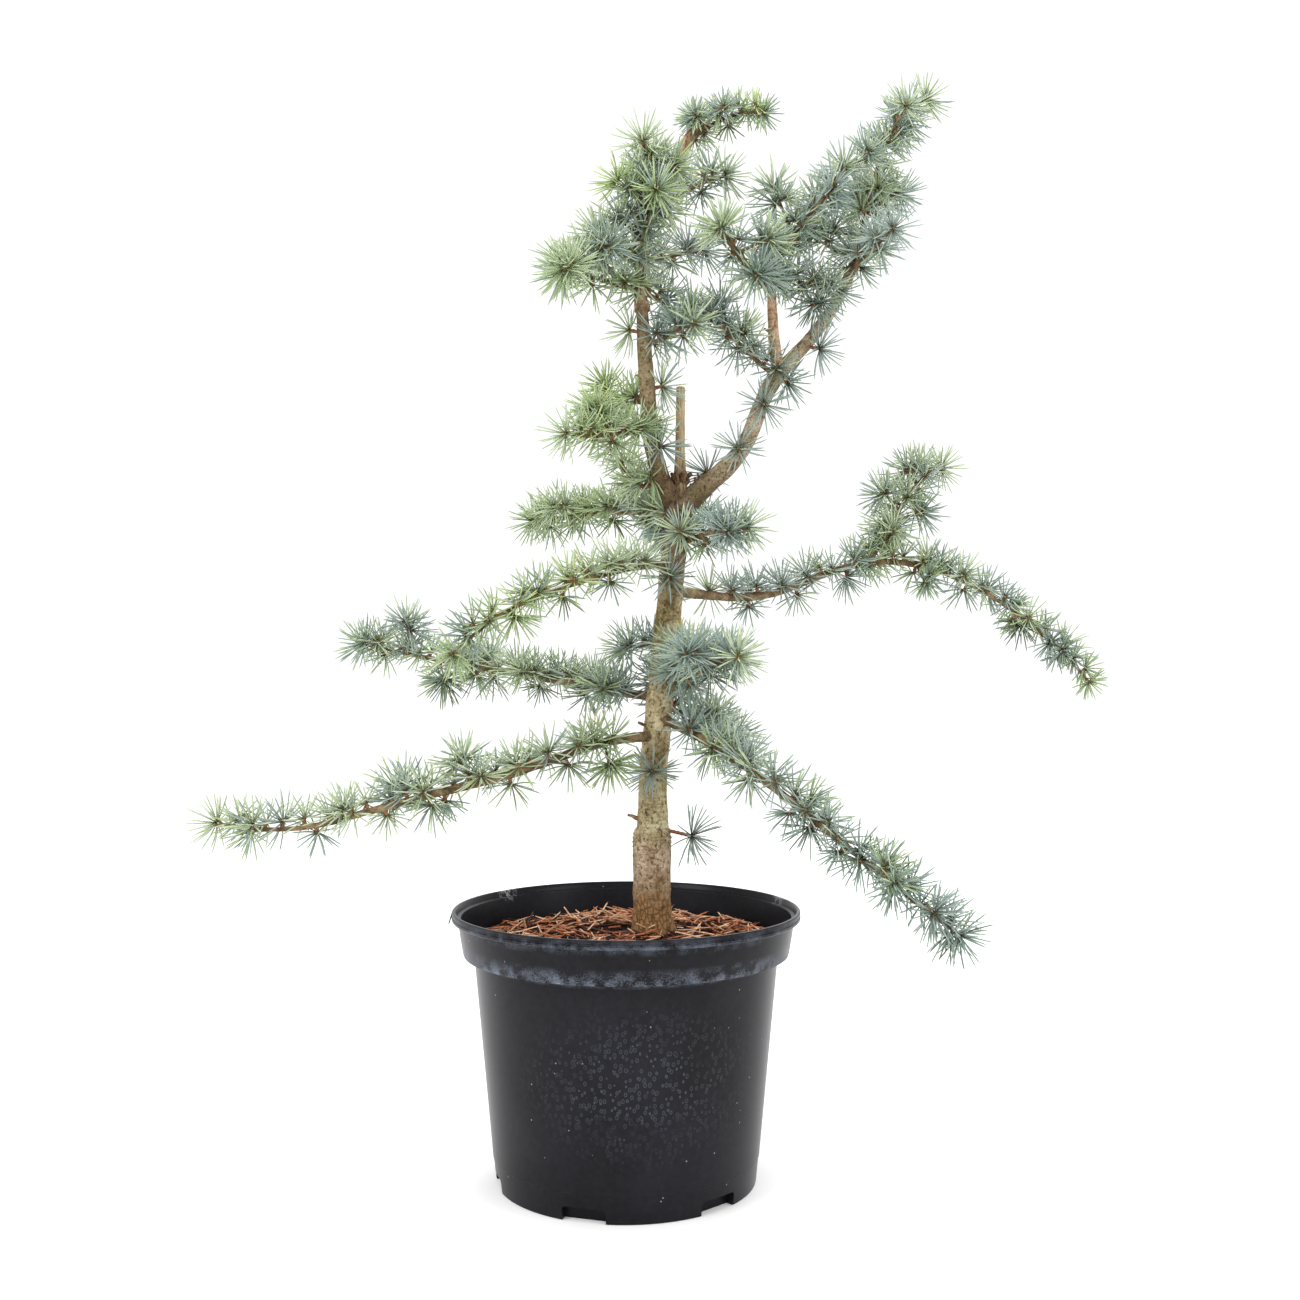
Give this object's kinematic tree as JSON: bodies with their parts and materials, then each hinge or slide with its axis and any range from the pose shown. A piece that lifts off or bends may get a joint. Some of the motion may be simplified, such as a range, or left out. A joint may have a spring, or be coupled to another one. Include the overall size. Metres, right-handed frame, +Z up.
{
  "type": "potted cedar tree",
  "caption": "Young blue cedar with a forked leader, a cut-back dead leader stub and wide drooping boughs of needle rosettes, standing in a round black nursery pot.",
  "frame": {"origin": "centre of the pot's flat underside", "axes": "+Z up along the pot's axis, -Y towards the side seen in the picture, +X to the right in it"},
  "size_m": [0.6765, 0.3449, 0.8496],
  "materials": {
    "pot": "semi-matte black",
    "soil": "dry needle and bark mulch",
    "bark": "rough grey-brown bark",
    "young_bark": "fine scaly bark",
    "dead_wood": "bare weathered wood",
    "needles": "waxy blue-green needles"
  },
  "bodies": {
    "root": {"bough_high_right": "young_bark", "bough_left_arch": "young_bark", "bough_low_left": "young_bark", "bough_low_right": "young_bark", "bough_mid_left": "young_bark", "dead_stub": "dead_wood", "foliage_back_low": "needles", "foliage_back_mid": "needles", "foliage_crest_left": "needles", "foliage_crest_low": "needles", "foliage_crown_back": "needles", "foliage_crown_dome": "needles", "foliage_crown_right_twig": "needles", "foliage_crown_tip": "needles", "foliage_cut_limb": "needles", "foliage_dark_spray": "needles", "foliage_fork_left_twig": "needles", "foliage_front_right": "needles", "foliage_front_right_up": "needles", "foliage_high_right": "needles", "foliage_high_right_out": "needles", "foliage_high_right_up": "needles", "foliage_inner_shoot": "needles", "foliage_leader_twig_high": "needles", "foliage_leader_twig_low": "needles", "foliage_left_arch": "needles", "foliage_left_cluster": "needles", "foliage_left_cluster_low": "needles", "foliage_left_cluster_up": "needles", "foliage_left_short": "needles", "foliage_low_left": "needles", "foliage_low_right": "needles", "foliage_low_right_side": "needles", "foliage_mid_left": "needles", "foliage_outer_back": "needles", "foliage_outer_inner": "needles", "foliage_outer_shoot": "needles", "foliage_outer_side": "needles", "foliage_right_short": "needles", "foliage_small_left": "needles", "left_leader": "bark", "pot": "pot", "pruned_limb": "bark", "right_inner_limb": "bark", "right_leader": "bark", "right_outer_limb": "bark", "soil": "soil", "trunk": "bark", "tuft_fork_back": "needles", "tuft_fork_front": "needles", "tuft_fork_high": "needles", "tuft_fork_right": "needles", "tuft_leader_front": "needles", "tuft_leader_left": "needles", "tuft_leader_right": "needles", "tuft_outer_low": "needles", "tuft_trunk_back": "needles", "tuft_trunk_front": "needles", "tuft_trunk_high_front": "needles", "tuft_trunk_right": "needles"}
  },
  "joints": []
}
